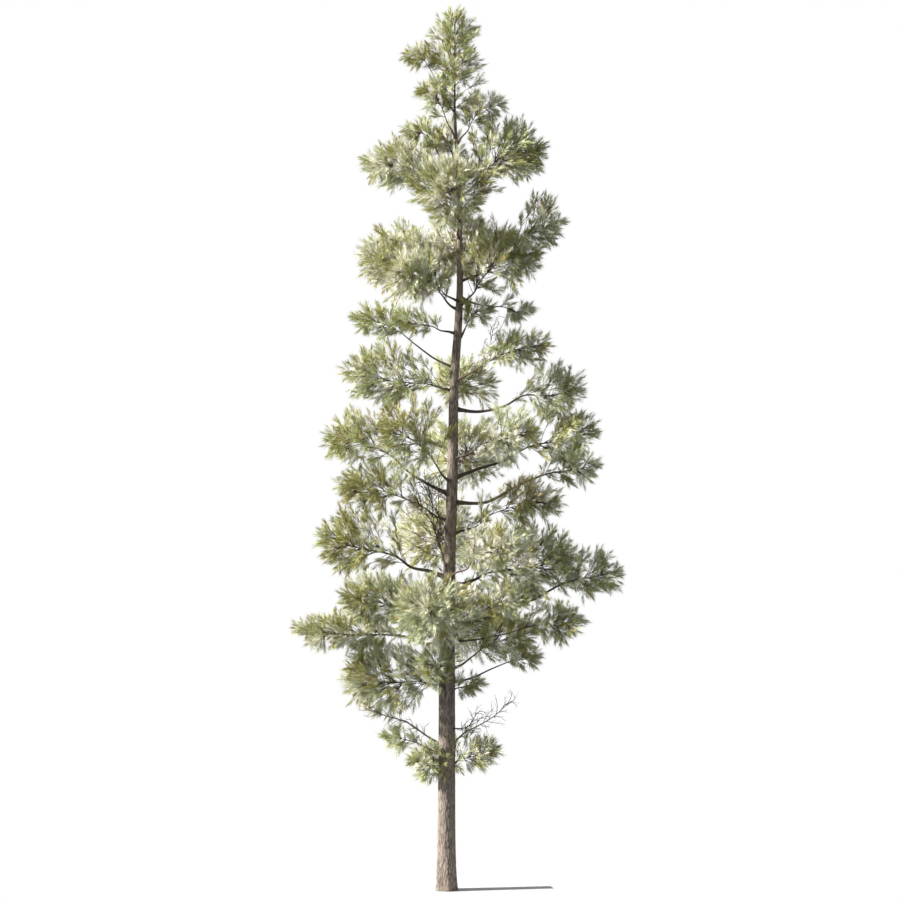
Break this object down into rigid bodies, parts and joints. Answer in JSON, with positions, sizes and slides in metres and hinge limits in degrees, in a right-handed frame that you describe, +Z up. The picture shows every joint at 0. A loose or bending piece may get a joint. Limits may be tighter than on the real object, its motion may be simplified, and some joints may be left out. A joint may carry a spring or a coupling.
{
  "type": "pine tree",
  "caption": "Tall slender pine tree with a bare lower trunk, spaced boughs and airy masses of needles, rooted in level ground.",
  "frame": {"origin": "middle of the flat cut under the trunk, at ground level", "axes": "+Z up along the trunk, +X to the right in the picture, +Y away from the viewer of the picture"},
  "size_m": [9.8031, 7.4405, 25.9691],
  "materials": {
    "trunk_bark": "rough, furrowed grey-brown bark",
    "bough_bark": "scaly dark grey-brown bark",
    "dead_wood": "dry weathered grey wood",
    "needles": "soft yellow-green needles, slightly waxy"
  },
  "bodies": {
    "root": {"trunk": "trunk_bark", "bough_right_6_far": "bough_bark", "bough_left_8": "bough_bark", "bough_right_8": "bough_bark", "bough_right_9": "bough_bark", "bough_left_12": "bough_bark", "bough_right_12": "bough_bark", "bough_right_13_far": "bough_bark", "bough_left_13": "bough_bark", "dead_limb_left": "dead_wood", "dead_limb_right": "dead_wood", "foliage_leader": "needles", "foliage_left_1": "needles", "foliage_left_2": "needles", "foliage_right_2": "needles", "foliage_back_2": "needles", "foliage_left_3_top": "needles", "foliage_left_3": "needles", "foliage_right_3": "needles", "foliage_front_3": "needles", "foliage_left_4": "needles", "foliage_right_4_far": "needles", "foliage_right_4": "needles", "foliage_front_4": "needles", "foliage_back_4": "needles", "foliage_left_5_near": "needles", "foliage_right_5": "needles", "foliage_right_5_far": "needles", "foliage_left_5": "needles", "foliage_left_6": "needles", "foliage_right_6": "needles", "foliage_right_6_far": "needles", "foliage_back_6": "needles", "foliage_right_7": "needles", "foliage_left_8": "needles", "foliage_front_8": "needles", "foliage_right_8": "needles", "foliage_right_9": "needles", "foliage_back_8": "needles", "foliage_left_10": "needles", "foliage_right_10": "needles", "foliage_front_11": "needles", "foliage_left_12": "needles", "foliage_right_12": "needles", "foliage_back_12": "needles", "foliage_right_13_far": "needles", "foliage_right_13_low": "needles", "foliage_right_13_near": "needles", "foliage_left_13": "needles", "foliage_left_13_near": "needles", "foliage_front_13": "needles", "foliage_back_13": "needles", "foliage_left_14": "needles", "foliage_left_14_near": "needles", "foliage_right_14": "needles", "foliage_right_15": "needles", "foliage_right_15_far": "needles", "foliage_left_low_far": "needles", "foliage_left_low": "needles", "foliage_right_low": "needles"}
  },
  "joints": []
}
